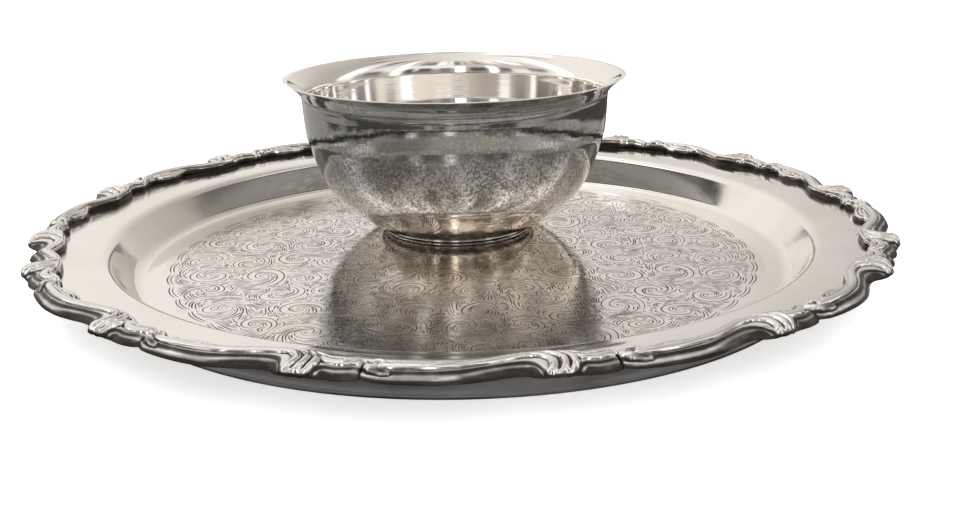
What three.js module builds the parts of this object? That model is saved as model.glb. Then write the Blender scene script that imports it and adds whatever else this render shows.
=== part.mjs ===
// A round serving tray with a cast scroll border, and a loose footed bowl standing on its floor.
// Millimetres, +Z up. The origin is on the tray's turning axis, at the height of the surface it stands on.
import * as THREE from 'three';

// Tray sheet: floor, wall, rounded lip and flange are spun from one disc.
const SHEET = 1.2;
const FLOOR_HEIGHT = 2.9;
const WALL_FOOT_RADIUS = 136.6;
const LIP_RADIUS = 146.0;
const LIP_HEIGHT = 17.3;
const FLANGE_RADIUS = 171.5;
const FLANGE_RISE = 2.6;
const FOOT_FILLET = 7;
const LIP_FILLET = 5;
const TRAY_SEGMENTS = 84;

// Base ring: a collar soldered under the tray's wall, with a rolled edge that the tray stands on.
// Radius and height around its section, from the top of its inner face.
const BASE_RING = [
  [143.7, 11.4],
  [143.7, 0.5],
  [144.1, 0],
  [145.0, 0],
  [145.5, 0.5],
  [145.4, 1.3],
  [144.8, 2.0],
  [144.8, 13.0],
  [143.7, 11.4],
];

// Cast border, soldered on the flange. One whole casting spans PITCH degrees of the ring, from one break to the
// next: a curl, a long scroll bar, a cluster of gadroons and a scallop.
const PITCH = 25.64;
const BREAK_TO_GADROON = 6.15;
const FRONT_COUNT = 5;
const BACK_COUNT = 8;
const HAND_CHANGE = -23.3;
const CASTING_GAP = 0.12;
const SOLDER_GAP = 0.3;
const STATIONS_PER_DEGREE = 0.9;
const EDGE_DROP = 1.4;

// Inner edge, outer edge and crest height over the flange, at angles from the gadroons (degrees, scroll side
// positive). Between them the values follow a smooth curve.
const OUTLINE = [
  { at: -6.15, inner: 167.0, outer: 174.8, crest: 2.2 },
  { at: -5.2, inner: 166.2, outer: 177.0, crest: 3.4 },
  { at: -3.6, inner: 166.4, outer: 176.8, crest: 3.0 },
  { at: -1.9, inner: 165.0, outer: 175.8, crest: 3.4 },
  { at: -0.3, inner: 163.2, outer: 177.8, crest: 3.8 },
  { at: 1.4, inner: 162.4, outer: 177.4, crest: 3.8 },
  { at: 3.2, inner: 162.4, outer: 172.8, crest: 3.6 },
  { at: 5.5, inner: 163.0, outer: 173.8, crest: 3.6 },
  { at: 9.5, inner: 164.4, outer: 177.4, crest: 3.5 },
  { at: 12.5, inner: 163.4, outer: 178, crest: 3.5 },
  { at: 15.3, inner: 165.4, outer: 177.4, crest: 3.6 },
  { at: 17.3, inner: 166.2, outer: 177.0, crest: 3.9 },
  { at: 18.7, inner: 166.4, outer: 176.6, crest: 3.4 },
  { at: 19.49, inner: 167.0, outer: 174.8, crest: 2.2 },
];

// Bowl: a spun shell on a soldered foot ring, standing loose on the tray's floor.
const BOWL_X = -2;
const BOWL_Y = 52.4;
const BOWL_CLEARANCE = 0.1;
const BOWL_WALL = 1.1;
const BOWL_SEGMENTS = 56;
const BOWL_STEPS = 22;
const FOOT_SEGMENTS = 40;
// Radius and height around the foot ring's section, a low round-edged band.
const BOWL_FOOT = [
  [31.0, 0],
  [33.4, 0],
  [34.0, 0.5],
  [33.7, 1.1],
  [33.0, 1.4],
  [31.2, 1.4],
  [31.0, 0],
];
// Radius and height of the shell's outer face, from the middle of the base to the rim.
const BOWL_PROFILE = [
  [0, 2.4],
  [22, 2.2],
  [33.0, 1.5],
  [38.0, 2.5],
  [43.8, 6.1],
  [51.4, 12.1],
  [58.6, 19.8],
  [63.9, 30.4],
  [67.6, 41.5],
  [68.7, 46.5],
  [69.2, 52],
  [69.5, 57],
  [69.8, 61.5],
  [70.7, 64.2],
  [73.3, 67.1],
  [77.6, 69.4],
];

const tray = new THREE.MeshStandardMaterial({ color: 0xcfc8bd, roughness: 0.16, metalness: 1 });
const casting = new THREE.MeshStandardMaterial({ color: 0xb9b2a8, roughness: 0.24, metalness: 1 });
const bowl = new THREE.MeshStandardMaterial({ color: 0xa79c90, roughness: 0.2, metalness: 1 });

const radians = THREE.MathUtils.degToRad;

// Points of a bent line: straight stretches joined by arcs of the given radii at the inner corners.
function bentLine(corners, fillets, arcSteps) {
  const points = [corners[0].clone()];
  for (let i = 1; i < corners.length - 1; i += 1) {
    const corner = corners[i];
    const back = corners[i - 1].clone().sub(corner).normalize();
    const ahead = corners[i + 1].clone().sub(corner).normalize();
    const half = Math.acos(back.dot(ahead)) / 2;
    const reach = fillets[i - 1] / Math.tan(half);
    const middle = back.clone().add(ahead).normalize();
    const centre = corner.clone().addScaledVector(middle, fillets[i - 1] / Math.sin(half));
    const start = corner.clone().addScaledVector(back, reach).sub(centre);
    const end = corner.clone().addScaledVector(ahead, reach).sub(centre);
    const sweep = Math.atan2(start.x * end.y - start.y * end.x, start.dot(end));
    for (let k = 0; k <= arcSteps; k += 1) {
      points.push(start.clone().rotateAround(new THREE.Vector2(), (sweep * k) / arcSteps).add(centre));
    }
  }
  points.push(corners[corners.length - 1].clone());
  return points;
}

// The line moved sideways by a distance, to its left as it runs.
function offsetLine(points, distance) {
  return points.map((point, i) => {
    const before = points[Math.max(i - 1, 0)];
    const after = points[Math.min(i + 1, points.length - 1)];
    const run = after.clone().sub(before).normalize();
    return new THREE.Vector2(point.x - run.y * distance, point.y + run.x * distance);
  });
}

// A solid turned about +Z from a profile of (radius, height) points.
function turned(profile, segments) {
  const geometry = new THREE.LatheGeometry(profile, segments);
  geometry.rotateX(Math.PI / 2);
  return geometry;
}

function trayPan() {
  const half = SHEET / 2;
  const middle = bentLine(
    [
      new THREE.Vector2(0, FLOOR_HEIGHT - half),
      new THREE.Vector2(WALL_FOOT_RADIUS, FLOOR_HEIGHT - half),
      new THREE.Vector2(LIP_RADIUS, LIP_HEIGHT - half),
      new THREE.Vector2(FLANGE_RADIUS, LIP_HEIGHT + FLANGE_RISE - half),
    ],
    [FOOT_FILLET, LIP_FILLET],
    4,
  );
  const upper = offsetLine(middle, half);
  const lower = offsetLine(middle, -half);
  upper[0].x = 0;
  lower[0].x = 0;
  return turned([...lower, ...upper.reverse()], TRAY_SEGMENTS);
}

// Height of the flange's upper face at a radius, carried on past its edge.
function flangeTop(radius) {
  return LIP_HEIGHT + (FLANGE_RISE * (radius - LIP_RADIUS)) / (FLANGE_RADIUS - LIP_RADIUS);
}

// One value of the border's outline at an angle from the gadroons.
function outlineAt(angle, key) {
  let i = 0;
  while (i < OUTLINE.length - 2 && OUTLINE[i + 1].at < angle) i += 1;
  const a = OUTLINE[i];
  const b = OUTLINE[i + 1];
  const t = THREE.MathUtils.smoothstep(angle, a.at, b.at);
  return THREE.MathUtils.lerp(a[key], b[key], t);
}

// The casting's cross-section at one angle, as (radius, height) points around it.
function borderSection(angle) {
  const inner = outlineAt(angle, 'inner');
  const outer = outlineAt(angle, 'outer');
  const crest = outlineAt(angle, 'crest');
  const width = outer - inner;
  const over = (radius, height) => new THREE.Vector2(radius, flangeTop(radius) + SOLDER_GAP + height);
  return [
    over(inner, 0),
    over(FLANGE_RADIUS, 0),
    over(outer - 0.8, -EDGE_DROP),
    over(outer, -EDGE_DROP / 3),
    over(outer - 0.06 * width, crest * 0.5),
    over(outer - 0.3 * width, crest * 0.92),
    over(inner + 0.36 * width, crest),
    over(inner + 0.12 * width, crest * 0.74),
  ];
}

// A casting whose gadroons stand at a ring angle. Its scroll runs counter-clockwise where hand is 1.
function borderCasting(gadroon, hand, from, to) {
  const steps = Math.ceil((to - from) * STATIONS_PER_DEGREE);
  const trim = THREE.MathUtils.radToDeg(CASTING_GAP / LIP_RADIUS / 2);
  const positions = [];
  const sections = [];
  for (let k = 0; k <= steps; k += 1) {
    const angle = THREE.MathUtils.lerp(from + trim, to - trim, k / steps);
    const turn = radians(gadroon + hand * angle);
    const section = borderSection(angle);
    sections.push(section.map(({ x, y }) => [x * Math.cos(turn), x * Math.sin(turn), y]));
  }
  const count = sections[0].length;
  sections.forEach((section) => section.forEach((point) => positions.push(...point)));
  const index = [];
  const face = (a, b, c) => index.push(a, hand > 0 ? b : c, hand > 0 ? c : b);
  for (let k = 0; k < steps; k += 1) {
    for (let i = 0; i < count; i += 1) {
      const a = k * count + i;
      const b = k * count + ((i + 1) % count);
      face(a, a + count, b);
      face(b, a + count, b + count);
    }
  }
  for (const [ring, flip] of [[0, false], [steps, true]]) {
    const middle = positions.length / 3;
    const points = sections[ring];
    positions.push(...[0, 1, 2].map((axis) => points.reduce((sum, p) => sum + p[axis], 0) / count));
    for (let i = 0; i < count; i += 1) {
      const a = ring * count + i;
      const b = ring * count + ((i + 1) % count);
      if (flip) face(middle, b, a);
      else face(middle, a, b);
    }
  }
  const geometry = new THREE.BufferGeometry();
  geometry.setAttribute('position', new THREE.Float32BufferAttribute(positions, 3));
  geometry.setIndex(index);
  geometry.computeVertexNormals();
  return geometry;
}

function bowlShell() {
  const curve = new THREE.SplineCurve(BOWL_PROFILE.map(([radius, height]) => new THREE.Vector2(radius, height)));
  const outside = curve.getPoints(BOWL_STEPS);
  const inside = offsetLine(outside, BOWL_WALL);
  inside[0].x = 0;
  return turned([...outside, ...inside.reverse()], BOWL_SEGMENTS);
}

// A ring turned from a section given as (radius, height) pairs, which ends where it starts.
function turnedRing(section, segments) {
  return turned(section.map(([radius, height]) => new THREE.Vector2(radius, height)), segments);
}

function named(name, geometry, material) {
  const mesh = new THREE.Mesh(geometry, material);
  mesh.name = name;
  return mesh;
}

function border() {
  const group = new THREE.Group();
  const scrollEnd = PITCH - BREAK_TO_GADROON;
  const closing = (360 - (FRONT_COUNT + BACK_COUNT) * PITCH - 2 * BREAK_TO_GADROON) / 2;
  const sides = [
    { side: 'front', hand: -1, count: FRONT_COUNT },
    { side: 'back', hand: 1, count: BACK_COUNT },
  ];
  for (const { side, hand, count } of sides) {
    for (let k = 0; k <= count; k += 1) {
      const gadroon = HAND_CHANGE + hand * (BREAK_TO_GADROON + k * PITCH);
      const whole = k < count;
      const end = whole ? scrollEnd : closing;
      const name = whole ? `border_${side}_${k + 1}` : `border_close_${side}`;
      group.add(named(name, borderCasting(gadroon, hand, -BREAK_TO_GADROON, end), casting));
    }
  }
  return group;
}

function looseBowl() {
  const group = new THREE.Group();
  group.add(named('bowl_shell', bowlShell(), bowl));
  group.add(named('bowl_foot', turnedRing(BOWL_FOOT, FOOT_SEGMENTS), bowl));
  group.position.set(BOWL_X, BOWL_Y, FLOOR_HEIGHT + BOWL_CLEARANCE);
  return group;
}

const part = new THREE.Group();
part.add(named('tray_pan', trayPan(), tray));
part.add(named('base_ring', turnedRing(BASE_RING, TRAY_SEGMENTS), tray));
part.add(border());
part.add(looseBowl());
export default part;
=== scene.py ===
"""Looks for a round serving tray with a cast scroll border and a loose footed bowl.

Lengths are in metres where nothing says mm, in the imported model's frame: +Z up, the tray's axis on Z and the
surface that it stands on at 0.
"""

import math

import bmesh
import bpy
import numpy as np
from mathutils import Matrix, Vector
from mathutils.geometry import delaunay_2d_cdt


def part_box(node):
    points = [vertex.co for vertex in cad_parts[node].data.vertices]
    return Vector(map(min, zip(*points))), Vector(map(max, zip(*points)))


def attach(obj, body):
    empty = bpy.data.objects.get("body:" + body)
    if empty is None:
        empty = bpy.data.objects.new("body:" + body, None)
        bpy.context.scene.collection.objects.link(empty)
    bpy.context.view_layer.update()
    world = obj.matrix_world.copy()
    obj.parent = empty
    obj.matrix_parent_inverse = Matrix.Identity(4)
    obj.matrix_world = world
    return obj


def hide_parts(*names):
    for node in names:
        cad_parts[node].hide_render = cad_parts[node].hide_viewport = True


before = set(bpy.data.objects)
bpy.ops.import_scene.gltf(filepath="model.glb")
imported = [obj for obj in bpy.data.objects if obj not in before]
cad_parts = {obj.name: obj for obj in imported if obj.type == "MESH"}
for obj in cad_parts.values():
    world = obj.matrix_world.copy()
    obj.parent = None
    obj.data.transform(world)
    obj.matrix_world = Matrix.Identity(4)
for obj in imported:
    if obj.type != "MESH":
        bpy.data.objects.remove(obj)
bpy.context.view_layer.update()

MM = 0.001
SAME_POINT = 1e-7                 # metres, under which two points are one

# ---------------------------------------- sizes, from the frame

pan_low, pan_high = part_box("tray_pan")
ring_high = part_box("base_ring")[1]
shell_low, shell_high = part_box("bowl_shell")
foot_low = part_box("bowl_foot")[0]

SHEET = 1.2 * MM
FLANGE_RADIUS = pan_high.x
LIP_RADIUS = FLANGE_RADIUS - 25.5 * MM
WALL_FOOT_RADIUS = LIP_RADIUS - 9.4 * MM
FLOOR_TOP = pan_low.z + SHEET
FLANGE_RISE = 2.6 * MM
LIP_TOP = pan_high.z - FLANGE_RISE
FOOT_FILLET = 7 * MM
LIP_FILLET = 5 * MM

BOWL_AXIS = (shell_low + shell_high) / 2
RIM_RADIUS = (shell_high.x - shell_low.x) / 2
BOWL_STAND = foot_low.z
BOWL_WALL = 1.1 * MM


# ---------------------------------------- curves and meshes

def smooth_line(points, steps):
    """A Catmull-Rom curve through rows of numbers, with the given steps between neighbours."""
    rows = np.asarray(points, float)
    padded = np.vstack([2 * rows[0] - rows[1], rows, 2 * rows[-1] - rows[-2]])
    out = []
    for i in range(1, len(padded) - 2):
        a, b, c, d = padded[i - 1:i + 3]
        for t in np.arange(steps) / steps:
            out.append(b + 0.5 * t * (c - a + t * (2 * a - 5 * b + 4 * c - d + t * (3 * (b - c) + d - a))))
    out.append(rows[-1])
    return np.array(out)


def bent_line(corners, fillets, steps):
    """Straight stretches joined by arcs of the given radii at the inner corners."""
    corners = [np.array(c, float) for c in corners]
    points = [corners[0]]
    for before, corner, after, radius in zip(corners, corners[1:], corners[2:], fillets):
        back = (before - corner) / np.linalg.norm(before - corner)
        ahead = (after - corner) / np.linalg.norm(after - corner)
        half = math.acos(float(back @ ahead)) / 2
        middle = (back + ahead) / np.linalg.norm(back + ahead)
        centre = corner + middle * radius / math.sin(half)
        start = corner + back * radius / math.tan(half) - centre
        end = corner + ahead * radius / math.tan(half) - centre
        sweep = math.atan2(start[0] * end[1] - start[1] * end[0], float(start @ end))
        for angle in np.linspace(0, sweep, steps + 1):
            c, s = math.cos(angle), math.sin(angle)
            points.append(centre + np.array([c * start[0] - s * start[1], s * start[0] + c * start[1]]))
    points.append(corners[-1])
    return np.array(points)


def offset_line(points, distance):
    """The line moved sideways, to its left as it runs."""
    run = np.gradient(points, axis=0)
    run /= np.linalg.norm(run, axis=1)[:, None]
    return points + distance * np.column_stack([-run[:, 1], run[:, 0]])


def new_object(name, points, faces, material):
    """A smooth-shaded mesh object in the scene."""
    mesh = bpy.data.meshes.new(name)
    mesh.from_pydata([tuple(p) for p in points], [], faces)
    mesh.update()
    thing = bpy.data.objects.new(name, mesh)
    bpy.context.scene.collection.objects.link(thing)
    mesh.materials.append(material)
    mesh.polygons.foreach_set("use_smooth", [True] * len(mesh.polygons))
    return thing


def turned_faces(rings, segments, closed):
    """Faces between rings of vertices. A ring is a list of indices, just one for a point on the axis."""
    faces = []
    for a, b in zip(rings, rings[1:] + (rings[:1] if closed else [])):
        for k in range(segments):
            n = (k + 1) % segments
            if len(a) == 1 and len(b) == 1:
                continue
            if len(a) == 1:
                faces.append((a[0], b[n], b[k]))
            elif len(b) == 1:
                faces.append((a[k], a[n], b[0]))
            else:
                faces.append((a[k], a[n], b[n], b[k]))
    return faces


def turned_points(profile, segments, centre=(0, 0)):
    """Vertices and rings of a profile of (radius, height) turned about a vertical axis."""
    points, rings = [], []
    turn = np.arange(segments) * 2 * math.pi / segments
    for radius, height in profile:
        if radius < SAME_POINT:
            rings.append([len(points)])
            points.append((centre[0], centre[1], height))
            continue
        rings.append(list(range(len(points), len(points) + segments)))
        for angle in turn:
            x, y = centre[0] + radius * math.cos(angle), centre[1] + radius * math.sin(angle)
            points.append((x, y, height))
    return points, rings


def turned(name, profile, segments, material, centre=(0, 0)):
    """A ring turned about a vertical axis from a closed profile of (radius, height)."""
    points, rings = turned_points(profile, segments, centre)
    return new_object(name, points, turned_faces(rings, segments, True), material)


def face_outwards(thing, weld=None):
    """Points every face of a closed mesh outwards, after merging the vertices that are nearer than weld."""
    work = bmesh.new()
    work.from_mesh(thing.data)
    if weld is not None:
        bmesh.ops.remove_doubles(work, verts=work.verts, dist=weld)
    bmesh.ops.recalc_face_normals(work, faces=work.faces)
    work.to_mesh(thing.data)
    work.free()


# ---------------------------------------- materials

class Nodes:
    """A short way to build a node tree. An input has its Blender name, or i0, i1 and so on by number."""

    def __init__(self, tree):
        self.tree = tree
        tree.nodes.clear()

    def add(self, kind, settings=None, **inputs):
        made = self.tree.nodes.new(kind)
        for key, value in (settings or {}).items():
            setattr(made, key, value)
        for key, value in inputs.items():
            self.set(made, key.replace("_", " "), value)
        return made

    def set(self, made, key, value):
        socket = made.inputs[int(key[1:])] if key[0] == "i" and key[1:].isdigit() else made.inputs[key]
        if isinstance(value, bpy.types.NodeSocket):
            self.tree.links.new(value, socket)
        else:
            socket.default_value = value

    def math(self, operation, a, b=0.0, clamp=False):
        made = self.add("ShaderNodeMath", {"operation": operation, "use_clamp": clamp}, i0=a, i1=b)
        return made.outputs[0]

    def ramp(self, value, low, high, to_low=0.0, to_high=1.0, smooth=True):
        kind = "SMOOTHSTEP" if smooth else "LINEAR"
        made = self.add("ShaderNodeMapRange", {"interpolation_type": kind}, Value=value)
        for key, number in (("From Min", low), ("From Max", high), ("To Min", to_low), ("To Max", to_high)):
            self.set(made, key, number)
        return made.outputs[0]

    def mix(self, factor, a, b):
        made = self.add("ShaderNodeMix", {"data_type": "RGBA"})
        self.set(made, "i0", factor)
        self.set(made, "i6", a)
        self.set(made, "i7", b)
        return made.outputs[2]

    def noise(self, place, scale, detail=4.0, roughness=0.5, distortion=0.0):
        made = self.add("ShaderNodeTexNoise", None, Vector=place, Scale=scale, Detail=detail,
                        Roughness=roughness, Distortion=distortion)
        return made.outputs["Fac"]

    def cells(self, place, scale):
        made = self.add("ShaderNodeTexVoronoi", {"feature": "F1"}, Vector=place, Scale=scale)
        return made.outputs["Distance"]

    def stretched(self, place, scale):
        made = self.add("ShaderNodeMapping", None, Vector=place)
        made.inputs["Scale"].default_value = scale
        return made.outputs[0]

    def bump(self, height, strength, distance, normal=None):
        made = self.add("ShaderNodeBump", None, Height=height, Strength=strength, Distance=distance)
        if normal is not None:
            self.set(made, "Normal", normal)
        return made.outputs[0]


def new_material(name):
    """A material, its nodes and the place on the object that they work from."""
    material = bpy.data.materials.new(name)
    material.use_nodes = True
    nodes = Nodes(material.node_tree)
    place = nodes.add("ShaderNodeTexCoord").outputs["Object"]
    return material, nodes, place


def metal(nodes, color, roughness, normal):
    """Ends a material's nodes in a metal surface."""
    shader = nodes.add("ShaderNodeBsdfPrincipled", None, Base_Color=color, Roughness=roughness,
                       Metallic=1.0, Normal=normal)
    out = nodes.add("ShaderNodeOutputMaterial")
    nodes.tree.links.new(shader.outputs[0], out.inputs[0])
    return shader


BRIGHT = (0.92, 0.89, 0.85, 1)
WARM = (0.78, 0.735, 0.68, 1)
DULL = (0.36, 0.32, 0.29, 1)
DARK = (0.07, 0.055, 0.05, 1)


def pits(nodes, place, scale, size):
    """1 in a few small round pits, 0 elsewhere."""
    return nodes.ramp(nodes.cells(place, scale), size, size * 0.5)


def polished_plate():
    """The tray's sheet: bright, with soft clouds of tarnish, hairline wipes and a few pits."""
    material, nodes, place = new_material("polished_plate")
    cloud = nodes.noise(place, 14, 5, 0.55, 0.6)
    fine = nodes.noise(place, 180, 3, 0.6)
    spots = nodes.ramp(nodes.noise(place, 60, 6, 0.7), 0.62, 0.72)
    color = nodes.mix(nodes.ramp(cloud, 0.35, 0.75, 0.0, 0.55), BRIGHT, WARM)
    color = nodes.mix(nodes.math("MULTIPLY", spots, 0.25), color, DULL)
    color = nodes.mix(nodes.math("MULTIPLY", pits(nodes, place, 42, 0.05), 0.85), color, DARK)
    wipe = nodes.noise(nodes.stretched(place, (900, 60, 200)), 1.0, 2)
    roughness = nodes.ramp(cloud, 0.3, 0.7, 0.05, 0.15)
    roughness = nodes.math("ADD", roughness, nodes.math("MULTIPLY", fine, 0.03))
    normal = nodes.bump(nodes.noise(place, 22, 2), 0.10, 0.002)
    normal = nodes.bump(wipe, 0.02, 0.0004, normal)
    metal(nodes, color, roughness, normal)
    return material


def chased_floor():
    """The lands between the chased lines: bright, greyer in soft patches, with a faint hammered tone."""
    material, nodes, place = new_material("chased_floor")
    cloud = nodes.noise(place, 11, 6, 0.6, 0.8)
    fine = nodes.noise(place, 420, 3, 0.65)
    color = nodes.mix(nodes.ramp(cloud, 0.38, 0.72, 0.05, 0.75), BRIGHT, WARM)
    color = nodes.mix(nodes.ramp(fine, 0.52, 0.78, 0.0, 0.35), color, DULL)
    color = nodes.mix(nodes.math("MULTIPLY", pits(nodes, place, 36, 0.055), 0.9), color, DARK)
    roughness = nodes.ramp(cloud, 0.3, 0.75, 0.07, 0.19)
    normal = nodes.bump(nodes.noise(place, 300, 2), 0.22, 0.0003)
    normal = nodes.bump(nodes.noise(place, 26, 2), 0.06, 0.002, normal)
    metal(nodes, color, roughness, normal)
    return material


def chased_line():
    """Inside the chased lines, where the oxide stays."""
    material, nodes, place = new_material("chased_line")
    patch = nodes.noise(place, 90, 4, 0.6)
    color = nodes.mix(nodes.ramp(patch, 0.35, 0.7), (0.12, 0.09, 0.075, 1), (0.34, 0.29, 0.25, 1))
    normal = nodes.bump(nodes.noise(place, 900, 2), 0.3, 0.0002)
    metal(nodes, color, nodes.ramp(patch, 0.3, 0.7, 0.5, 0.32), normal)
    return material


def cast_border():
    """The castings: bright on crests and brown-black in hollows, as oxide with painted light and shade, and
    painted dark down the outer face with a painted highlight band, by the relief stored on the mesh.
    """
    material, nodes, place = new_material("cast_border")
    oxide_and_painted_light = nodes.add("ShaderNodeAttribute", {"attribute_name": "relief"}).outputs["Fac"]
    patch = nodes.noise(place, 150, 5, 0.65)
    # The relief level is painted light and shade with oxide in the hollows; noise breaks it up.
    oxide_and_painted_light_share = nodes.ramp(nodes.math("ADD", oxide_and_painted_light, nodes.math("MULTIPLY", patch, 0.3)), 0.28, 0.72)
    color = nodes.mix(oxide_and_painted_light_share, (0.055, 0.045, 0.04, 1), (0.81, 0.785, 0.75, 1))
    color = nodes.mix(nodes.ramp(nodes.noise(place, 45, 5, 0.6), 0.5, 0.8, 0.0, 0.4), color, DULL)
    color = nodes.mix(nodes.ramp(nodes.noise(place, 700, 3, 0.7), 0.64, 0.74, 0.0, 0.5), color, DARK)
    normal = nodes.bump(nodes.noise(place, 300, 3), 0.14, 0.0004)
    metal(nodes, color, nodes.ramp(oxide_and_painted_light_share, 0, 1, 0.36, 0.09, smooth=False), normal)
    return material


def bowl_outside():
    """The bowl's outer face: a grey film above and to the left, with dark and pale specks."""
    material, nodes, place = new_material("bowl_outside")
    split = nodes.add("ShaderNodeSeparateXYZ", None, Vector=place)
    east, height = split.outputs["X"], split.outputs["Z"]
    broad = nodes.noise(place, 16, 6, 0.6, 0.7)
    film = nodes.ramp(height, BOWL_STAND + 16 * MM, BOWL_STAND + 46 * MM)
    clouds = nodes.math("MULTIPLY", nodes.math("SUBTRACT", broad, 0.5), 1.3)
    film = nodes.math("ADD", film, clouds, clamp=True)
    left = nodes.ramp(east, -8 * MM, -62 * MM)
    film = nodes.math("ADD", film, nodes.math("MULTIPLY", left, 0.62), clamp=True)
    color = nodes.mix(film, (0.96, 0.90, 0.82, 1), (0.27, 0.28, 0.28, 1))
    patch = nodes.noise(place, 60, 5, 0.6, 0.4)
    higher = nodes.ramp(height, BOWL_STAND + 6 * MM, BOWL_STAND + 34 * MM, 0.1, 1.0)
    stain = nodes.math("MULTIPLY", nodes.ramp(patch, 0.42, 0.66, 0, 0.55), higher)
    color = nodes.mix(stain, color, (0.33, 0.295, 0.265, 1))
    belt_low = nodes.ramp(height, BOWL_STAND + 8 * MM, BOWL_STAND + 34 * MM)
    belt_high = nodes.ramp(height, BOWL_STAND + 40 * MM, BOWL_STAND + 52 * MM, 1.0, 0.25)
    belt = nodes.math("MULTIPLY", belt_low, belt_high)
    speck = nodes.noise(place, 880, 3, 0.6)
    near = nodes.math("ADD", speck, nodes.math("MULTIPLY", nodes.math("SUBTRACT", patch, 0.5), 0.42))
    dark = nodes.math("MULTIPLY", nodes.ramp(near, 0.50, 0.58), belt)
    color = nodes.mix(nodes.math("MULTIPLY", dark, 0.68), color, (0.10, 0.09, 0.08, 1))
    pale = nodes.math("MULTIPLY", nodes.ramp(near, 0.46, 0.39), nodes.ramp(broad, 0.40, 0.60))
    color = nodes.mix(nodes.math("MULTIPLY", pale, 0.4), color, (0.72, 0.68, 0.63, 1))
    roughness = nodes.ramp(broad, 0.3, 0.7, 0.02, 0.05)
    roughness = nodes.math("ADD", roughness, nodes.math("MULTIPLY", dark, 0.2))
    normal = nodes.bump(speck, 0.03, 0.0003)
    shader = metal(nodes, color, roughness, normal)
    nodes.set(shader, "Metallic", 0.93)
    return material


def bowl_inside():
    """The bowl's inner face and rim: bright, with rings from spinning and small dull spots."""
    material, nodes, place = new_material("bowl_inside")
    cloud = nodes.noise(place, 20, 5, 0.55, 0.5)
    color = nodes.mix(nodes.ramp(cloud, 0.4, 0.75, 0.0, 0.5), BRIGHT, WARM)
    color = nodes.mix(nodes.math("MULTIPLY", pits(nodes, place, 60, 0.05), 0.6), color, DULL)
    rings = nodes.noise(nodes.stretched(place, (1, 1, 900)), 1.0, 2)
    normal = nodes.bump(rings, 0.03, 0.0004)
    metal(nodes, color, nodes.ramp(cloud, 0.3, 0.7, 0.035, 0.09), normal)
    return material


def foot_plate():
    """The bowl's foot: grey-green film with bright rubbed places."""
    material, nodes, place = new_material("foot_plate")
    cloud = nodes.noise(place, 45, 5, 0.6, 0.5)
    color = nodes.mix(nodes.ramp(cloud, 0.36, 0.68), (0.80, 0.76, 0.70, 1), (0.48, 0.475, 0.44, 1))
    color = nodes.mix(nodes.ramp(nodes.noise(place, 500, 4, 0.7), 0.6, 0.7, 0, 0.6), color, DARK)
    normal = nodes.bump(nodes.noise(place, 400, 3), 0.08, 0.0003)
    metal(nodes, color, nodes.ramp(cloud, 0.3, 0.7, 0.08, 0.2), normal)
    return material


def painted_reflection_plate():
    """The base ring: dark grey as a painted reflection of a dark table under the tray, satin, with small
    scratches.
    """
    material, nodes, place = new_material("painted_reflection_plate")
    cloud = nodes.noise(place, 30, 5, 0.6, 0.4)
    scratch = nodes.ramp(nodes.noise(nodes.stretched(place, (70, 70, 1400)), 1.0, 3, 0.7), 0.66, 0.74)
    # The dark grey is a painted reflection: the ring's silver would otherwise show the pale floor.
    color = nodes.mix(nodes.ramp(cloud, 0.3, 0.7), (0.24, 0.24, 0.25, 1), (0.34, 0.335, 0.34, 1))
    color = nodes.mix(nodes.math("MULTIPLY", scratch, 0.5), color, (0.55, 0.54, 0.53, 1))
    normal = nodes.bump(nodes.noise(place, 500, 3), 0.12, 0.0003)
    metal(nodes, color, nodes.ramp(cloud, 0.3, 0.7, 0.34, 0.46), normal)
    return material


POLISHED = polished_plate()
FLOOR_LAND = chased_floor()
FLOOR_LINE = chased_line()
CASTING = cast_border()
BOWL_OUT = bowl_outside()
BOWL_IN = bowl_inside()
FOOT_PLATE = foot_plate()
PAINTED_REFLECTION_PLATE = painted_reflection_plate()


# ---------------------------------------- chased floor

CHASED_RADIUS = 124 * MM
LAND_RADIUS = 127 * MM            # the edge of the flat that the lines are cut into
PLAIN_CENTRE = 10 * MM
LOBES = 46                        # scallops of the double line round the chasing
LOBE_DEPTH = 1.7 * MM
LOBE_LINE_GAP = 1.4 * MM
LOBE_MARGIN = 2.5 * MM
LINE_GAP = 1.08 * MM              # between background lines
OUTLINE_GAP = 0.8 * MM            # between one scroll's outline and the next
LOBE_GAP = 0.75 * MM              # between a scroll's lobes and the lines kept before them
LINE_STEP = 0.6 * MM
GROOVE_DEPTH = 0.22 * MM
GROOVE_HALF = 0.28 * MM
# Rings of scrolls: radius of the ring (mm), number of scrolls and their reach (mm).
SCROLL_RINGS = ((109, 31, 9.4), (89, 25, 9.6), (69, 19, 9.8), (49, 13, 10), (29, 7, 10))


def lobed_radius(angle, inset):
    """Radius of the chased disc's scalloped edge, moved inwards by inset."""
    return CHASED_RADIUS - inset - LOBE_DEPTH * (1 - np.abs(np.sin(LOBES * np.asarray(angle) / 2)) ** 0.7)


def scrolls():
    """Centres, reach, turning direction and opening angle of the scrolls, in rings round the tray."""
    draws = np.random.default_rng(7)
    made = []
    for radius, count, reach in SCROLL_RINGS:
        start = draws.uniform(0, 2 * math.pi)
        for k in range(count):
            angle = start + (k + draws.uniform(-0.12, 0.12)) * 2 * math.pi / count
            r = (radius + draws.uniform(-3, 3)) * MM
            sign = 1 if (k + count) % 2 else -1
            opening = angle + draws.uniform(0, 2 * math.pi)
            size = reach * MM * draws.uniform(0.85, 1.1)
            made.append((r * math.cos(angle), r * math.sin(angle), size, sign, opening))
    return np.array(made)


SCROLLS = scrolls()


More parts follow.
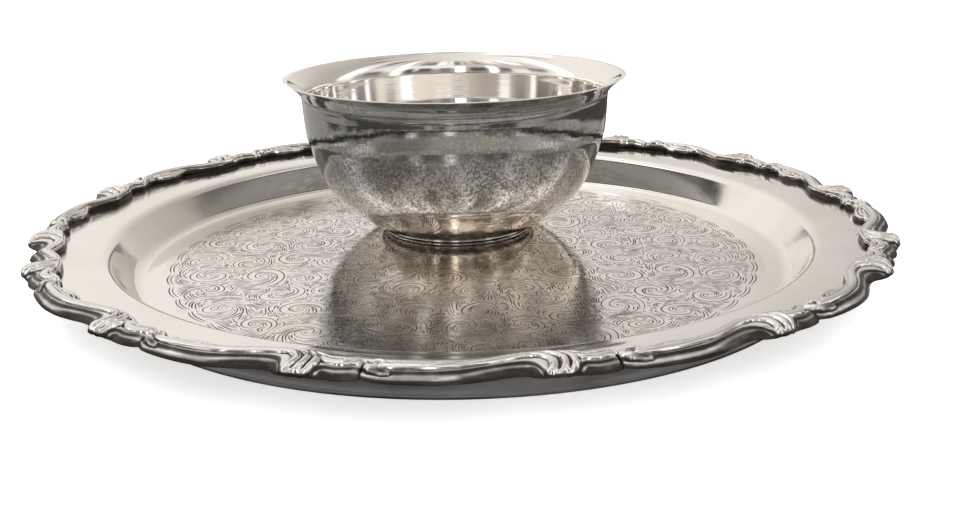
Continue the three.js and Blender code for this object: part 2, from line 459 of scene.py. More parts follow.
def flow(point):
    """Direction of the background lines at a point: round the nearest scrolls, drifting away from them."""
    away = point - SCROLLS[:, :2]
    distance = np.hypot(away[:, 0], away[:, 1])
    weight = np.exp(-(distance / SCROLLS[:, 2]) ** 2) * SCROLLS[:, 3] / (distance + 1 * MM)
    turn = np.column_stack([-away[:, 1] - 0.5 * away[:, 0] * SCROLLS[:, 3],
                            away[:, 0] - 0.5 * away[:, 1] * SCROLLS[:, 3]])
    total = (weight[:, None] * turn).sum(axis=0)
    return total / (np.hypot(*total) + 1e-12)


class Spacing:
    """Remembers the points of numbered lines on a grid, to keep new lines clear of old ones."""

    def __init__(self, cell):
        self.cell = cell
        self.kept = {}

    def near(self, point, reach, skip=-1):
        i, j = int(point[0] // self.cell), int(point[1] // self.cell)
        for a in (i - 1, i, i + 1):
            for b in (j - 1, j, j + 1):
                for x, y, line in self.kept.get((a, b), ()):
                    if line != skip and (x - point[0]) ** 2 + (y - point[1]) ** 2 < reach * reach:
                        return True
        return False

    def keep(self, point, line):
        key = int(point[0] // self.cell), int(point[1] // self.cell)
        self.kept.setdefault(key, []).append((point[0], point[1], line))


def inside_disc(point):
    radius = math.hypot(*point)
    return PLAIN_CENTRE < radius < lobed_radius(math.atan2(point[1], point[0]), LOBE_MARGIN)


def even_steps(line):
    """The same curve with its points LINE_STEP apart."""
    along = np.concatenate([[0], np.cumsum(np.hypot(*np.diff(line, axis=0).T))])
    at = np.linspace(0, along[-1], max(3, int(along[-1] / LINE_STEP)))
    return np.column_stack([np.interp(at, along, line[:, 0]), np.interp(at, along, line[:, 1])])


def scroll_lines(centre, reach, sign, opening):
    """An acanthus scroll: a tapering stem that winds in, and lobes with veins along its outer side."""
    turns = np.linspace(0, 1, 60)
    angle = opening + sign * turns * 2 * math.pi * 1.15
    radius = reach * (1 - 0.84 * turns ** 0.8)
    stem = centre + np.column_stack([radius * np.cos(angle), radius * np.sin(angle)])
    half = 0.17 * reach * np.sin(math.pi * np.clip(0.12 + 0.86 * turns, 0, 1)) ** 0.8
    out = np.column_stack([np.cos(angle), np.sin(angle)])
    lines = [stem + out * half[:, None], stem - out * half[:, None]]
    eye = np.linspace(0, 1.6 * math.pi, 10)
    lines.append(centre + 0.07 * reach * np.column_stack([np.cos(eye), np.sin(eye)]))
    lobes = []
    for at in (1, 8, 15, 22, 30, 40):
        size = 0.24 * reach * (1 - 0.4 * turns[at]) * (1.25 if at % 2 else 0.85)
        base = stem[at] + out[at] * (half[at] + size * 0.75)
        facing = angle[at]
        for share in (1.0, 0.62, 0.3):
            sweep = np.linspace(-2.0, 1.3, 14) * sign * -1
            arc = base + size * share * np.column_stack([np.cos(facing + sweep), np.sin(facing + sweep)])
            lobes.append(arc)
    lean = np.array([math.cos(opening * 3), math.sin(opening * 3)])
    pull = np.outer(lean, lean) * 0.3 * math.sin(opening * 7) + np.eye(2)
    lines, lobes = ([centre + (line - centre) @ pull for line in group] for group in (lines, lobes))
    return lines, lobes, centre + (stem - centre) @ pull


def clipped(line, spacing, reach, number):
    """The parts of a line that stay on the disc and clear of the lines already kept."""
    parts, part = [], []
    for point in even_steps(line):
        if inside_disc(point) and not spacing.near(point, reach, number):
            part.append(point)
            continue
        if len(part) > 3:
            parts.append(np.array(part))
        part = []
    if len(part) > 3:
        parts.append(np.array(part))
    return parts


def chased_lines():
    """Scrolls first, then background lines that follow the flow at an even spacing.

    Every line has a number, and only lines with other numbers keep their distance from it.
    """
    spacing = Spacing(LINE_GAP)
    lines = []

    def keep(parts, number):
        for part in parts:
            lines.append(part)
            for point in part:
                spacing.keep(point, number)

    stems = []
    for number, (x, y, reach, sign, opening) in enumerate(SCROLLS):
        outline, lobes, stem = scroll_lines(np.array((x, y)), reach, sign, opening)
        for line in outline:
            keep(clipped(line, spacing, OUTLINE_GAP, number), number)
        stems.append((number, lobes, stem))
    for number, lobes, stem in stems:
        first = 1000 + 40 * number
        for k, lobe in enumerate(lobes):
            keep(clipped(lobe, spacing, LOBE_GAP, first + k), first + k)
        for point in stem[:-12]:
            spacing.keep(point, first)

    draws = np.random.default_rng(11)

    def run(seed, sign, line, longest):
        points, here, last = [], np.array(seed), None
        while len(points) < longest:
            way = flow(here) * sign
            if last is not None and way @ last < 0.2:
                break
            ahead = here + way * LINE_STEP
            if not inside_disc(ahead) or spacing.near(ahead, LINE_GAP * 0.66, line):
                break
            own = points[:-6]
            if own and min(np.hypot(*(np.array(own) - ahead).T)) < LINE_GAP * 0.7:
                break
            points.append(ahead)
            here, last = ahead, way
        return points

    step = LINE_GAP * 0.95
    grid = np.arange(-CHASED_RADIUS, CHASED_RADIUS, step)
    seeds = [(x, y) for x in grid for y in grid]
    for k in draws.permutation(len(seeds)):
        seed = np.array(seeds[k]) + draws.uniform(-0.3, 0.3, 2) * step
        longest = int(draws.choice([8, 14, 24], p=[0.35, 0.4, 0.25]))
        if not inside_disc(seed) or spacing.near(seed, LINE_GAP * 0.85):
            continue
        number = 100000 + k
        points = run(seed, -1, number, longest)[::-1] + [seed] + run(seed, 1, number, longest)
        if len(points) < 5:
            continue
        keep([np.array(points)], number)
    return lines


def lobe_lines():
    """The double line round the chased disc, as one arc for each lobe."""
    lines = []
    for inset in (0, LOBE_LINE_GAP):
        for k in range(LOBES):
            angle = (k + np.linspace(0.04, 0.96, 13)) * 2 * math.pi / LOBES
            radius = lobed_radius(angle, inset)
            lines.append(np.column_stack([radius * np.cos(angle), radius * np.sin(angle)]))
    return lines


def chased_disc():
    """The floor inside LAND_RADIUS, with each chased line cut into it as a groove with sloping sides."""
    points, edges, depth = [], [], []
    draws = np.random.default_rng(5)
    for line in chased_lines() + lobe_lines():
        run = np.gradient(line, axis=0)
        run /= np.hypot(*run.T)[:, None] + 1e-12
        side = np.column_stack([-run[:, 1], run[:, 0]])
        share = np.linspace(0, 1, len(line))
        half = draws.uniform(0.7, 1.15) * GROOVE_HALF * np.clip(np.sin(math.pi * share), 0, 1) ** 0.4
        count = len(line)
        first = len(points)
        points.extend(line)
        depth.extend([0.0] + [GROOVE_DEPTH] * (count - 2) + [0.0])
        edges.extend((first + k, first + k + 1) for k in range(count - 1))
        for sign in (1, -1):
            rim = len(points)
            points.extend((line + sign * side * half[:, None])[1:-1])
            depth.extend([0.0] * (count - 2))
            edges.append((first, rim))
            edges.extend((rim + k, rim + k + 1) for k in range(count - 3))
            edges.append((rim + count - 3, first + count - 1))
    rim = len(points)
    turn = np.arange(PAN_SEGMENTS) * 2 * math.pi / PAN_SEGMENTS
    points.extend(np.column_stack([LAND_RADIUS * np.cos(turn), LAND_RADIUS * np.sin(turn)]))
    depth.extend([0.0] * PAN_SEGMENTS)
    edges.extend((rim + k, rim + (k + 1) % PAN_SEGMENTS) for k in range(PAN_SEGMENTS))
    scale = 1 / MM
    flat, _, faces, origins, _, _ = delaunay_2d_cdt(
        [Vector((p[0] * scale, p[1] * scale)) for p in points], edges, [], 0, 1e-4)
    height = [FLOOR_TOP - (max(depth[k] for k in o) if len(o) else GROOVE_DEPTH / 2) for o in origins]
    made = [(p.x / scale, p.y / scale, z) for p, z in zip(flat, height)]
    return made, [tuple(f) for f in faces]


# ---------------------------------------- tray

PAN_SEGMENTS = 288


def tray_pan():
    """The spun sheet: a turned section with a rounded edge, and the chased disc in its floor."""
    half = SHEET / 2
    corners = [(0, FLOOR_TOP - half), (WALL_FOOT_RADIUS, FLOOR_TOP - half), (LIP_RADIUS, LIP_TOP - half),
               (FLANGE_RADIUS - 0.4 * MM, LIP_TOP + FLANGE_RISE - half)]
    middle = bent_line(corners, (FOOT_FILLET, LIP_FILLET), 14)
    upper, lower = offset_line(middle, half), offset_line(middle, -half)
    lower[0, 0] = 0
    near_edge, edge_height = FLANGE_RADIUS - 0.1 * MM, middle[-1, 1]
    edge = [(near_edge, edge_height - half * 0.7), (FLANGE_RADIUS, edge_height),
            (near_edge, edge_height + half * 0.7)]
    profile = np.vstack([lower, edge, upper[:0:-1], [(LAND_RADIUS, FLOOR_TOP)]])
    points, rings = turned_points(profile, PAN_SEGMENTS)
    faces = turned_faces(rings, PAN_SEGMENTS, False)
    smooth_count = len(faces)
    disc_points, disc_faces = chased_disc()
    base = len(points)
    points += disc_points
    faces += [tuple(base + k for k in f) for f in disc_faces]
    pan = new_object("tray_sheet", points, faces, POLISHED)
    pan.data.materials.append(FLOOR_LAND)
    pan.data.materials.append(FLOOR_LINE)
    heights = np.array([p[2] for p in disc_points])
    lowest = [heights[list(f)].min() for f in disc_faces]
    slots = [0] * smooth_count + [2 if low < FLOOR_TOP - 0.02 * MM else 1 for low in lowest]
    pan.data.polygons.foreach_set("material_index", slots)
    pan.data.polygons.foreach_set("use_smooth", [True] * smooth_count + [False] * len(disc_faces))
    face_outwards(pan, 0.004 * MM)
    return pan


def base_ring():
    """The collar under the wall, with the rolled edge that the tray stands on."""
    inner, outer, top = ring_high.x - 1.8 * MM, ring_high.x, ring_high.z
    profile = [(inner, top - 1.6 * MM), (inner, 0.5 * MM), (inner + 0.15 * MM, 0.15 * MM),
               (inner + 0.4 * MM, 0), (outer - 0.5 * MM, 0), (outer - 0.15 * MM, 0.15 * MM),
               (outer, 0.5 * MM), (outer, 1.0 * MM), (outer - 0.2 * MM, 1.5 * MM),
               (outer - 0.7 * MM, 2.0 * MM), (outer - 0.7 * MM, top)]
    ring = turned("base_collar", profile, PAN_SEGMENTS, PAINTED_REFLECTION_PLATE)
    face_outwards(ring, SAME_POINT)
    return ring


# ---------------------------------------- border castings

BORDER_RADIUS = 170 * MM
DEGREE = math.pi / 180
ARC_MM = 2.967                    # millimetres of arc in one degree at BORDER_RADIUS
BREAK_AT = -6.15                  # a casting's two ends, in degrees from its gadroons
SCROLL_END = 19.49
HAND_CHANGE = -23.3               # degrees from +X, where the first front and back castings meet
FRONT_COUNT = 5
BACK_COUNT = 8
EDGE_DROP = 1.4                   # mm, how far the castings reach down over the flange's edge
HIGHEST = 4.6                     # mm over the flange

# The shape of one casting along its length, at degrees from the gadroons. The inner edge, bead, shoulder and
# outer edge are mm outwards from BORDER_RADIUS. The heights at the bead and the shoulder and the drop of the
# outer edge are mm from the flange. Convex is 0 where the outer face slopes down and 1 where it bulges.
SHAPE = np.array([
    # at     inner  bead  should outer  bead  should drop convex
    (-6.15, -4.2, -3.2, -0.6, 4.6, 1.9, 1.5, 1.0, 0.1),
    (-5.60, -4.8, -3.7, -0.3, 5.6, 2.7, 2.2, 1.0, 0.0),
    (-4.60, -3.8, -2.5, 1.0, 6.2, 2.9, 2.4, 1.0, 0.0),
    (-3.60, -3.3, -2.0, 1.6, 6.3, 2.9, 2.4, 1.0, 0.0),
    (-2.50, -4.4, -3.0, 1.2, 6.0, 3.0, 2.5, 1.0, 0.0),
    (-1.70, -6.0, -4.7, 3.0, 6.4, 3.1, 2.4, 0.8, 0.4),
    (-0.30, -6.8, -5.6, 5.4, 7.5, 3.2, 2.2, 0.6, 1.0),
    (1.20, -7.4, -6.2, 5.2, 7.3, 3.2, 2.2, 0.6, 0.9),
    (2.40, -7.6, -6.5, -1.6, 5.2, 3.1, 2.5, 0.9, 0.0),
    (3.40, -7.6, -6.6, -3.4, 3.0, 3.0, 2.7, 1.1, 0.0),
    (5.00, -6.5, -5.4, -2.6, 2.9, 3.0, 2.7, 1.2, 0.0),
    (7.00, -4.2, -2.9, -0.6, 4.6, 3.0, 2.7, 1.2, 0.0),
    (9.00, -2.4, -1.2, 1.3, 6.3, 3.0, 2.7, 1.1, 0.1),
    (10.6, -4.0, -0.5, 2.1, 7.0, 3.0, 2.7, 1.1, 0.2),
    (12.5, -5.4, -0.3, 2.4, 7.4, 3.0, 2.7, 1.1, 0.2),
    (14.4, -4.6, -0.3, 2.4, 7.2, 3.0, 2.7, 1.1, 0.2),
    (15.6, -2.4, -0.2, 2.2, 7.0, 3.0, 2.6, 1.1, 0.2),
    (17.0, -2.4, -0.9, 2.0, 6.7, 2.9, 2.5, 1.0, 0.2),
    (18.3, -3.4, -2.2, 1.4, 6.3, 2.7, 2.3, 0.8, 0.2),
    (19.49, -4.0, -2.9, 0.4, 4.6, 1.9, 1.5, 0.8, 0.1)])

# Raised strokes on the body. Each has a path of (degrees, mm outwards from BORDER_RADIUS), then its half
# widths and its heights in mm, at the start, middle and end.
STROKES = [
    # the long bar, which turns outwards into the first gadroon
    ([(17.4, 1.0), (16.6, 1.5), (15.0, 1.8), (12.5, 1.8), (9.6, 0.8), (7.2, -1.3), (5.0, -3.9), (3.6, -5.0),
      (2.6, -5.2), (1.8, -4.5), (1.1, -2.4), (0.7, 0.2), (0.7, 3.0), (0.95, 5.3), (1.2, 6.6)],
     (1.4, 1.45, 1.25), (0.7, 0.9, 1.2)),
    # the bead along the bar's inner side, which runs on into the scallop's inner bead
    ([(16.4, -0.3), (13.6, -0.3), (11.4, -0.3), (9.2, -1.1), (7.4, -2.7), (5.4, -5.2), (3.4, -6.9),
      (1.4, -6.5), (-0.4, -5.8), (-1.5, -4.6), (-2.6, -2.8), (-3.8, -2.1), (-5.0, -3.0), (-5.9, -4.0)],
     (0.55, 0.66, 0.6), (0.5, 0.7, 0.6)),
    # the second and third gadroons
    ([(0.75, -6.0), (0.2, -4.3), (-0.25, -2.1), (-0.45, 0.4), (-0.4, 3.2), (-0.2, 5.4), (0.0, 6.9)],
     (1.0, 1.3, 1.15), (0.8, 1.5, 1.3)),
    ([(-0.2, -5.4), (-0.75, -3.8), (-1.2, -1.8), (-1.45, 0.4), (-1.42, 3.0), (-1.25, 5.0), (-1.05, 6.6)],
     (0.9, 1.25, 1.1), (0.8, 1.5, 1.2)),
    # the scallop's wide band
    ([(-1.9, -2.2), (-2.7, -0.4), (-3.8, 0.4), (-4.9, -0.4), (-5.8, -1.8)],
     (1.5, 1.7, 1.4), (0.6, 0.8, 0.9)),
    # the curl beside the break: an outer lobe and the small lobe inside it
    ([(19.1, -1.2), (18.9, 1.0), (18.4, 2.8), (17.5, 4.2), (16.6, 4.8)],
     (1.1, 1.5, 0.7), (0.9, 1.3, 0.7)),
    ([(18.4, -2.4), (17.6, -1.5), (17.1, -0.1)], (0.7, 1.0, 0.7), (0.8, 1.1, 0.8)),
    # nested lobes inside the bar
    ([(15.7, -1.3), (15.1, -2.7), (13.9, -4.0), (12.3, -4.6), (10.9, -3.9), (10.2, -2.6)],
     (0.7, 0.85, 0.6), (0.8, 1.1, 0.7)),
    ([(14.8, -1.2), (14.2, -2.1), (13.2, -2.8), (12.1, -3.0), (11.2, -2.3)],
     (0.6, 0.75, 0.5), (0.7, 0.9, 0.6)),
    ([(13.8, -1.2), (13.1, -1.6), (12.4, -1.6), (11.9, -1.3)], (0.5, 0.6, 0.4), (0.5, 0.7, 0.5)),
]

COLUMNS_PER_DEGREE = 12
ROWS = 66                         # points across a casting, from its inner to its outer edge
FINE_ROWS = 5 * ROWS              # rows at which the relief is worked out
GROOVE_BESIDE = 0.45              # mm, depth of the groove beside a stroke


def shape_at(angle, column):
    """One column of SHAPE along a smooth curve."""
    at = smooth_line(SHAPE[:, [0, column]], 8)
    return np.interp(angle, at[:, 0], at[:, 1])


def flange_top(radius):
    """Height of the flange's upper face."""
    return LIP_TOP + FLANGE_RISE * (radius - LIP_RADIUS) / (FLANGE_RADIUS - LIP_RADIUS)


def ridge_and_groove(x, y, stroke):
    """What one stroke does at points x, y (mm): the height it adds (mm), and its groove's share, 0 to 1."""
    path, half, tall = stroke
    line = smooth_line([(a * ARC_MM, b) for a, b in path], 12)
    best = np.full(x.shape, 1e9)
    share = np.zeros(x.shape)
    for k, (p, q) in enumerate(zip(line, line[1:])):
        way = q - p
        t = np.clip(((x - p[0]) * way[0] + (y - p[1]) * way[1]) / (way @ way + 1e-9), 0, 1)
        gap = np.hypot(x - p[0] - t * way[0], y - p[1] - t * way[1])
        closer = gap < best
        best = np.where(closer, gap, best)
        share = np.where(closer, (k + t) / (len(line) - 1), share)
    width = np.interp(share, (0, 0.5, 1), half)
    high = np.interp(share, (0, 0.5, 1), tall)
    across = np.clip(best / width, 0, 2)
    return high * np.sqrt(np.clip(1 - across ** 2, 0, 1)), np.exp(-((across - 1.1) / 0.25) ** 2)


def relief(angle, share):
    """The casting's surface, at degrees from the gadroons and shares of its width from the inner edge.

    Gives mm outwards from BORDER_RADIUS, mm over the flange, and how far down the outer face it is.
    """
    inner, bead, shoulder, outer, high, low, drop, convex = (shape_at(angle, k) for k in range(1, 9))
    y = inner + (outer - inner) * share
    x = angle * ARC_MM
    rise = np.clip((y - inner) / (bead - inner), 0, 1)
    leafy = np.clip((bead - inner - 1.6) / 1.2, 0, 1)
    steep = np.sqrt(np.clip(1 - (1 - rise) ** 2.2, 0, 1))
    inside = 0.3 + (high - 0.3) * (steep * (1 - leafy) + 0.95 * rise ** 0.5 * leafy)
    across = np.clip((y - bead) / (shoulder - bead), 0, 1)
    top = high - (high - low) * across ** 1.7
    fall = np.clip((y - shoulder) / (outer - shoulder), 0, 1)
    side = 1 - 0.62 * fall ** 1.5 - 0.38 * fall ** 7
    bulge = np.sqrt(np.clip(1 - fall ** 2.4, 0, 1))
    outside = -drop + (low + drop) * (side * (1 - convex) + bulge * convex)
    tall = np.where(y < bead, inside, np.where(y < shoulder, top, outside))
    ridges, grooves = np.stack([ridge_and_groove(x, y, stroke) for stroke in STROKES]).max(axis=0)
    strokes = ridges - GROOVE_BESIDE * grooves * np.clip(1 - ridges / 0.5, 0, 1)
    tall = tall + strokes * np.clip((outer - y) / 2.6, 0.15, 1)
    gap = np.minimum(angle - BREAK_AT, SCROLL_END - angle) * ARC_MM
    tall = np.minimum(tall, -0.4 + 3.6 * np.sqrt(np.clip(gap, 0, None) + 0.02))
    return y, np.clip(tall, -EDGE_DROP, HIGHEST), fall * (1 - convex)


def softened(grid):
    """Each number averaged with its four neighbours."""
    wide = np.pad(grid, 1, mode="edge")
    return (2 * grid + wide[:-2, 1:-1] + wide[2:, 1:-1] + wide[1:-1, :-2] + wide[1:-1, 2:]) / 6


def hollow_shade(tall, fall):
    """How bright the plate is painted, 0 in a hollow and 1 on a crest: oxide with painted shade in the hollows
    and a painted highlight on the crests, and painted shade down the outer face with a painted highlight band
    across it. Fall is how far down the outer face it is.
    """
    blurred = tall.copy()
    for _ in range(40):
        blurred = softened(blurred)
    # Painted shade down the outer face, lifted in a painted highlight band near 0.62 of the way down.
    face = np.clip((fall - 0.10) / 0.25, 0, 1) - 0.45 * np.exp(-((fall - 0.62) / 0.10) ** 2)
    return np.clip(0.66 + (tall - blurred) * 1.3 - 0.56 * face, 0, 1)


def casting_grid():
    """The surface of a whole casting, with its points evenly spread along every section."""
    columns = int(round((SCROLL_END - BREAK_AT) * COLUMNS_PER_DEGREE))
    angle = np.linspace(BREAK_AT, SCROLL_END, columns + 1)
    wide = np.repeat(angle[:, None], FINE_ROWS, axis=1)
    share = np.repeat(np.linspace(0, 1, FINE_ROWS)[None, :], columns + 1, axis=0)
    y, tall, fall = relief(wide, share)
    for _ in range(5):
        tall = softened(tall)
    shade = hollow_shade(tall[:, ::3], fall[:, ::3])
    sections = []
    for k in range(columns + 1):
        along = np.concatenate([[0], np.cumsum(np.hypot(np.diff(y[k]), np.diff(tall[k])))])
        at = np.linspace(0, along[-1], ROWS)
        sections.append([np.interp(at, along, y[k]), np.interp(at, along, tall[k]),
                         np.interp(at, along[::3], shade[k])])
    y, tall, shade = np.array(sections).transpose(1, 0, 2)
    return angle, y, tall, shade


def casting(name, node, gadroon, hand, last, grid):
    """One border casting, up to the angle last, in place of its CAD node. Hand is its direction, 1 or -1."""
    angle, y, tall, shade = grid
    keep = angle <= last + 1e-9
    angle, y, tall, shade = angle[keep], y[keep], tall[keep], shade[keep]
    columns = len(angle)
    radius = BORDER_RADIUS + y * MM
    height = flange_top(np.minimum(radius, FLANGE_RADIUS)) + tall * MM
    height[:, 0] = flange_top(radius[:, 0]) + 0.05 * MM
    beside = np.full(columns, FLANGE_RADIUS + 0.05 * MM)
    under_radius = np.column_stack([radius[:, -1] - 1.0 * MM, beside, beside])
    under_height = np.column_stack([height[:, -1] - 0.1 * MM, height[:, -1] + 0.1 * MM,
                                    np.full(columns, flange_top(FLANGE_RADIUS) + 0.02 * MM)])
    radius = np.hstack([radius, under_radius])
    height = np.hstack([height, under_height])
    turn = (gadroon + hand * angle)[:, None] * DEGREE
    points = np.stack([radius * np.cos(turn), radius * np.sin(turn), height], axis=-1).reshape(-1, 3)
    count = radius.shape[1]
    faces = []
    for i in range(columns - 1):
        for j in range(count):
            k = (j + 1) % count
            faces.append((i * count + j, (i + 1) * count + j, (i + 1) * count + k, i * count + k))
    faces.append(tuple(range(count)))
    faces.append(tuple((columns - 1) * count + j for j in range(count)))
    made = new_object(name, points, faces, CASTING)
    # The rows under the outer edge get 0.3 here: painted shade.
    level = np.hstack([shade, np.full((columns, count - ROWS), 0.3)]).ravel()
    made.data.attributes.new("relief", "FLOAT", "POINT").data.foreach_set("value", level.astype(np.float32))
    face_outwards(made)
    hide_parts(node)
    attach(made, "tray")


def border():
    """Every casting, both ways round from HAND_CHANGE, and a short one each way to close the ring."""
    pitch = SCROLL_END - BREAK_AT
    closing = (360 - (FRONT_COUNT + BACK_COUNT) * pitch + 2 * BREAK_AT) / 2
    grid = casting_grid()
    for side, hand, count in (("front", -1, FRONT_COUNT), ("back", 1, BACK_COUNT)):
        for k in range(count + 1):
            gadroon = HAND_CHANGE + hand * (k * pitch - BREAK_AT)
            whole = k < count
            node = f"border_{side}_{k + 1}" if whole else f"border_close_{side}"
            casting(node + "_cast", node, gadroon, hand, SCROLL_END if whole else closing, grid)


# ---------------------------------------- bowl

BOWL_SEGMENTS = 256
# Outer face, from the middle of the base: shares of the rim's radius and of the bowl's height.
BOWL_PROFILE = [
    (0, 0.0342), (0.284, 0.0313), (0.425, 0.0214), (0.490, 0.0356), (0.564, 0.0869), (0.662, 0.1724),
    (0.755, 0.2821), (0.823, 0.4331), (0.871, 0.5913), (0.885, 0.6625), (0.892, 0.7409), (0.896, 0.8121),
    (0.899, 0.8762), (0.911, 0.9147), (0.945, 0.9560), (1, 1)]
LIP_LINE_HEIGHT = 63.2 * MM       # a fine groove turned under the flare
LIP_LINE_DEPTH = 0.25 * MM
LIP_LINE_HALF = 0.6 * MM
THICKER_BELOW = 66 * MM           # the wall is thicker below this height over the tray's floor
THICKER_BY = 1.1 * MM
# The foot's section: radius and height over the floor, in mm.
FOOT_PROFILE = [(31.2, 1.4), (31.0, 1.0), (31.0, 0.2), (31.2, 0), (33.3, 0), (33.7, 0.15), (33.95, 0.5),
                (33.85, 0.9), (33.5, 1.2), (33.0, 1.4)]


def bowl_shell():
    """The spun bowl: bright inside and on its rim, tarnished outside."""
    tall = shell_high.z - BOWL_STAND
    outside = smooth_line([(r * RIM_RADIUS, BOWL_STAND + h * tall) for r, h in BOWL_PROFILE], 16)
    smooth = outside.copy()
    outside[:, 1] = np.maximum(outside[:, 1], shell_low.z)
    beside_line = (outside[:, 1] - BOWL_STAND - LIP_LINE_HEIGHT) / LIP_LINE_HALF
    outside[:, 0] -= LIP_LINE_DEPTH * np.exp(-beside_line ** 2)
    inside = offset_line(smooth, BOWL_WALL)
    thicker = np.clip((BOWL_STAND + THICKER_BELOW - inside[:, 1]) / (24 * MM), 0, 1)
    inside[:, 0] -= THICKER_BY * thicker * np.clip(inside[:, 0] / (60 * MM), 0, 1)
    inside[0, 0] = 0
    inside[:, 1] = np.minimum(inside[:, 1], shell_high.z)
    lip = (outside[-1] + inside[-1]) / 2
    profile = np.vstack([outside, [lip], inside[::-1]])
    points, rings = turned_points(profile, BOWL_SEGMENTS, BOWL_AXIS[:2])
    faces = turned_faces(rings, BOWL_SEGMENTS, False)
    shell = new_object("bowl_body", points, faces, BOWL_OUT)
    shell.data.materials.append(BOWL_IN)
    bright_from = rings[len(outside) - 3][0]
    slots = [1 if min(f) >= bright_from else 0 for f in faces]
    shell.data.polygons.foreach_set("material_index", slots)
    face_outwards(shell, SAME_POINT)
    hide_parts("bowl_shell")
    return shell


def bowl_foot():
    """The low round-edged ring under the bowl."""
    profile = [(r * MM, BOWL_STAND + z * MM) for r, z in FOOT_PROFILE]
    foot = turned("bowl_foot_ring", profile, BOWL_SEGMENTS, FOOT_PLATE, BOWL_AXIS[:2])
    face_outwards(foot, SAME_POINT)
    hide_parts("bowl_foot")
    return foot


# ---------------------------------------- stage, light and camera

BACKDROP = (0.93, 0.93, 0.925, 1)


def stage():
    """The pale floor. In the silver's reflections it is darker, like a table under the tray."""
    material, nodes, place = new_material("pale_floor")
    tone = nodes.mix(nodes.noise(place, 3, 2), BACKDROP, (0.95, 0.95, 0.945, 1))
    reflected = nodes.add("ShaderNodeLightPath").outputs["Is Glossy Ray"]
    patches = nodes.ramp(nodes.noise(nodes.stretched(place, (1, 0.45, 1)), 7, 2, 0.5, 0.8), 0.47, 0.56)
    table = nodes.mix(patches, (0.05, 0.045, 0.045, 1), (0.42, 0.41, 0.40, 1))
    tone = nodes.mix(reflected, tone, table)
    shader = nodes.add("ShaderNodeBsdfPrincipled", None, Base_Color=tone, Roughness=0.8)
    nodes.set(shader, "Specular IOR Level", 0.1)
    nodes.set(shader, "Emission Color", tone)
    nodes.set(shader, "Emission Strength", nodes.ramp(reflected, 0, 1, 0.6, 0.1))
    out = nodes.add("ShaderNodeOutputMaterial")
    nodes.tree.links.new(shader.outputs[0], out.inputs[0])
    reach = 5
    corners = [(-reach, -reach, 0), (reach, -reach, 0), (reach, reach, 0), (-reach, reach, 0)]
    new_object("studio_floor", corners, [(0, 1, 2, 3)], material)


def soft_light(name, place, target, width, height, power):
    """An area light. It lights the floor but can't be seen in the silver."""
    data = bpy.data.lights.new(name, "AREA")
    data.shape = "RECTANGLE"
    data.size, data.size_y = width, height
    data.energy = power
    lamp = bpy.data.objects.new(name, data)
    bpy.context.scene.collection.objects.link(lamp)
    lamp.location = place
    lamp.rotation_euler = (Vector(target) - Vector(place)).to_track_quat("-Z", "Y").to_euler()
    lamp.visible_glossy = False


# Soft panels that only the silver sees. Each has its sides in degrees clockwise from +Y, its lower and upper
# edges in degrees over the horizon, its colour, how soft its edges are in degrees, and how strong it is.
SIDE_PANELS = (
    (-88, -70, 6, 60, (1.5, 1.55, 1.6, 1), 8, 1.0),
    (72, 90, 8, 55, (1.2, 1.2, 1.2, 1), 8, 1.0),
    (98, 116, 12, 32, (0.14, 0.13, 0.12, 1), 6, 0.8),
    (-116, -98, 12, 32, (0.14, 0.13, 0.12, 1), 6, 0.8))
FRONT_PANELS = (
    (-179, -172, 8, 42, (2.4, 2.5, 2.7, 1), 4, 1.0),
    (-167, -154, 10, 32, (0.12, 0.11, 0.10, 1), 5, 1.0),
    (-151, -144, 4, 46, (1.7, 1.8, 1.95, 1), 5, 1.0),
    (126, 135, 4, 50, (1.4, 1.38, 1.35, 1), 6, 1.0),
    (138, 160, 10, 32, (0.14, 0.11, 0.11, 1), 6, 1.0),
    (168, 177, 8, 30, (0.26, 0.24, 0.24, 1), 4, 1.0),
    (-142, -132, 10, 30, (0.20, 0.18, 0.18, 1), 5, 1.0),
    (145, 149, 16, 44, (0.8, 0.78, 0.76, 1), 3, 1.0))


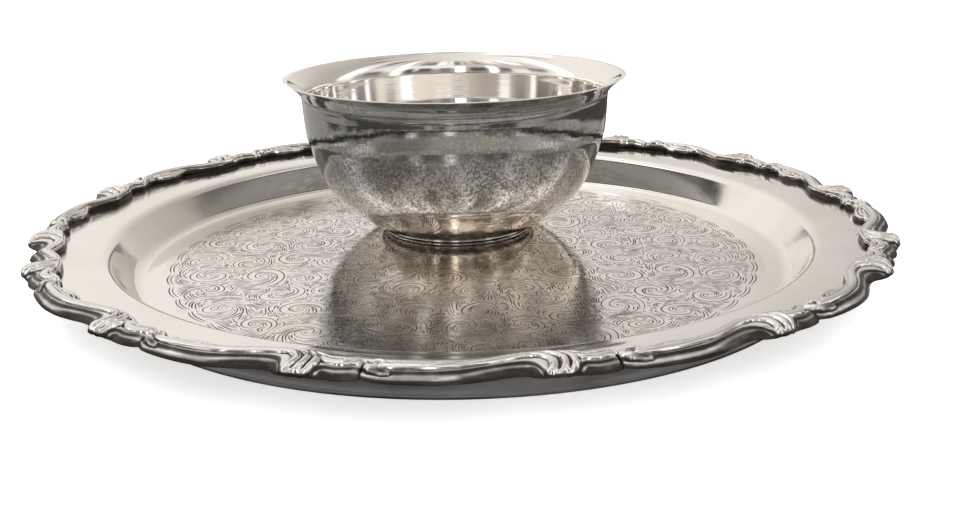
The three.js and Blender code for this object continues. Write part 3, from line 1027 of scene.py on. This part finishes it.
def studio_walls():
    """A plain pale backdrop. The silver reflects a cream wall behind it and a room with windows in front."""
    world = bpy.data.worlds.new("studio")
    bpy.context.scene.world = world
    world.use_nodes = True
    nodes = Nodes(world.node_tree)
    way = nodes.add("ShaderNodeTexCoord").outputs["Generated"]
    split = nodes.add("ShaderNodeSeparateXYZ", None, Vector=way)
    east, north, rise = split.outputs["X"], split.outputs["Y"], split.outputs["Z"]
    sway = nodes.math("MULTIPLY", nodes.math("SUBTRACT", nodes.noise(way, 3.5, 3), 0.5), 14)
    turn = nodes.math("MULTIPLY", nodes.math("ARCTAN2", east, north), 180 / math.pi)
    turn = nodes.math("ADD", turn, nodes.math("MULTIPLY", sway, 0.35))
    lift = nodes.math("MULTIPLY", nodes.math("ARCSINE", rise), 180 / math.pi)
    lift = nodes.math("ADD", lift, nodes.math("MULTIPLY", sway, nodes.ramp(lift, 2, 14)))
    aside = nodes.math("ABSOLUTE", turn)

    def band(value, low, high, soft):
        up = nodes.ramp(value, low - soft / 2, low + soft / 2)
        down = nodes.ramp(value, high - soft / 2, high + soft / 2, 1, 0)
        return nodes.math("MULTIPLY", up, down)

    def panel(color, turn_from, turn_to, lift_from, lift_to, tone, soft, share):
        high = band(lift, lift_from, lift_to, 2.5 * soft)
        mask = nodes.math("MULTIPLY", band(turn, turn_from, turn_to, soft), high)
        return nodes.mix(nodes.math("MULTIPLY", mask, share), color, tone)

    cream, shade = (0.95, 0.92, 0.88, 1), (0.50, 0.47, 0.44, 1)
    room = (0.40, 0.37, 0.355, 1)
    color = nodes.mix(nodes.ramp(turn, -30, 55), cream, shade)
    color = nodes.mix(nodes.ramp(aside, 124, 146), color, room)
    upper = nodes.mix(nodes.ramp(turn, -178, 178), (0.60, 0.57, 0.54, 1), (0.95, 0.95, 0.96, 1))
    high_front = nodes.math("MULTIPLY", nodes.ramp(lift, 16, 32), nodes.ramp(aside, 60, 120))
    color = nodes.mix(high_front, color, upper)
    ceiling = nodes.mix(nodes.ramp(east, -0.4, 0.5), (1.0, 0.98, 0.95, 1), (0.62, 0.59, 0.56, 1))
    color = nodes.mix(nodes.ramp(lift, 52, 70), color, ceiling)
    along = nodes.math("MULTIPLY", turn, 0.07)
    across = nodes.math("MULTIPLY", lift, 0.004)
    streak_place = nodes.add("ShaderNodeCombineXYZ", None, X=along, Y=across).outputs[0]
    streak = nodes.noise(streak_place, 1.0, 3, 0.6)
    high_up = band(lift, 56, 74, 12)
    dark_streak = nodes.math("MULTIPLY", nodes.ramp(streak, 0.49, 0.42), high_up)
    color = nodes.mix(dark_streak, color, (0.24, 0.22, 0.21, 1))
    bright_streak = nodes.math("MULTIPLY", nodes.ramp(streak, 0.55, 0.61), high_up)
    color = nodes.mix(bright_streak, color, (1.7, 1.72, 1.76, 1))
    for settings in SIDE_PANELS:
        color = panel(color, *settings)
    color = nodes.mix(band(lift, -1.5, 5, 3), color, (0.05, 0.045, 0.045, 1))
    for settings in FRONT_PANELS:
        color = panel(color, *settings)
    seen = nodes.add("ShaderNodeLightPath").outputs["Is Camera Ray"]
    color = nodes.mix(seen, color, BACKDROP)
    back = nodes.add("ShaderNodeBackground", None, Color=color, Strength=1.0)
    out = nodes.add("ShaderNodeOutputWorld")
    nodes.tree.links.new(back.outputs[0], out.inputs[0])


# The camera, fitted to the photograph's ellipses: down is its tilt, right its turn from +Y.
CAMERA_PLACE = Vector((0, -0.4901, 0.1545))
CAMERA_DOWN = math.radians(17.331)
CAMERA_RIGHT = math.radians(0.857)
CAMERA_ROLL = math.radians(-1.011)
CAMERA_LENS = 44.55


def camera():
    """The camera, in front of the tray and a little above it, tipped down by CAMERA_DOWN."""
    level = Vector((math.sin(CAMERA_RIGHT), math.cos(CAMERA_RIGHT), 0))
    ahead = level * math.cos(CAMERA_DOWN) - Vector((0, 0, math.sin(CAMERA_DOWN)))
    right = Vector((math.cos(CAMERA_RIGHT), -math.sin(CAMERA_RIGHT), 0))
    up = right.cross(ahead)
    across = math.cos(CAMERA_ROLL) * right + math.sin(CAMERA_ROLL) * up
    over = -math.sin(CAMERA_ROLL) * right + math.cos(CAMERA_ROLL) * up
    data = bpy.data.cameras.new("camera")
    data.lens = CAMERA_LENS
    data.sensor_width = 36
    eye = bpy.data.objects.new("camera", data)
    bpy.context.scene.collection.objects.link(eye)
    turn = Matrix((across, over, -ahead)).transposed().to_4x4()
    eye.matrix_world = Matrix.Translation(CAMERA_PLACE) @ turn
    bpy.context.scene.camera = eye


# ---------------------------------------- the whole object

pan = tray_pan()
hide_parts("tray_pan")
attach(pan, "tray")
ring = base_ring()
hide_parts("base_ring")
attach(ring, "tray")
border()
for piece in (bowl_shell(), bowl_foot()):
    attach(piece, "bowl")

stage()
studio_walls()
soft_light("overhead", (0, 0.1, 1.6), (0, 0, 0), 2.6, 2.2, 26)
soft_light("front", (0, -1.6, 1.0), (0, -0.2, 0), 1.8, 1.2, 14)
camera()
bpy.context.scene.view_settings.view_transform = "Standard"
